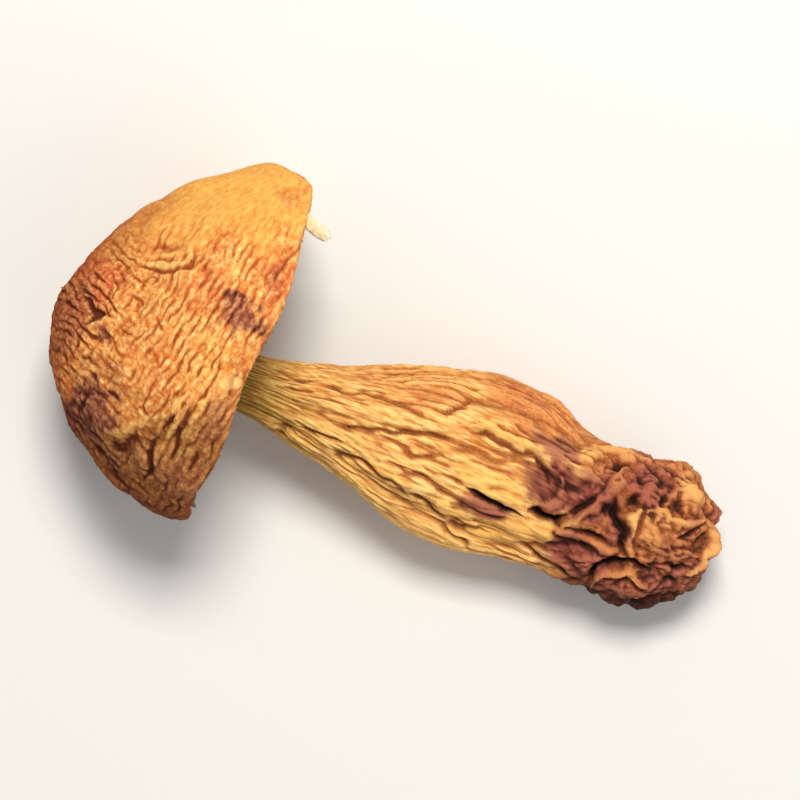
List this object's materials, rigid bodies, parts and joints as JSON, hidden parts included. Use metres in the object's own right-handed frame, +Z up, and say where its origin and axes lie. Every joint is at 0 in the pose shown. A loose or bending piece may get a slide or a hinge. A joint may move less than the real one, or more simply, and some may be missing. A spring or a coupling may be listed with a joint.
{
  "type": "dried almond mushroom",
  "caption": "Dried almond mushroom lying on its side: a domed wrinkled cap with gills below it on a thick ridged stem with a shrivelled base.",
  "frame": {"origin": "on the surface it lies on, under the middle of its bounding box", "axes": "+Z up; the mushroom lies along X, its crown at -X and the base of its stem at +X"},
  "size_m": [0.0687, 0.036, 0.0299],
  "materials": {
    "cap": "dry matte skin, tan to orange-brown with purple-brown bruises",
    "stem": "dry matte fibrous skin, cream-yellow ridges and purple-brown flesh at the base"
  },
  "bodies": {
    "root": {"cap": "cap", "stem": "stem"}
  },
  "joints": []
}
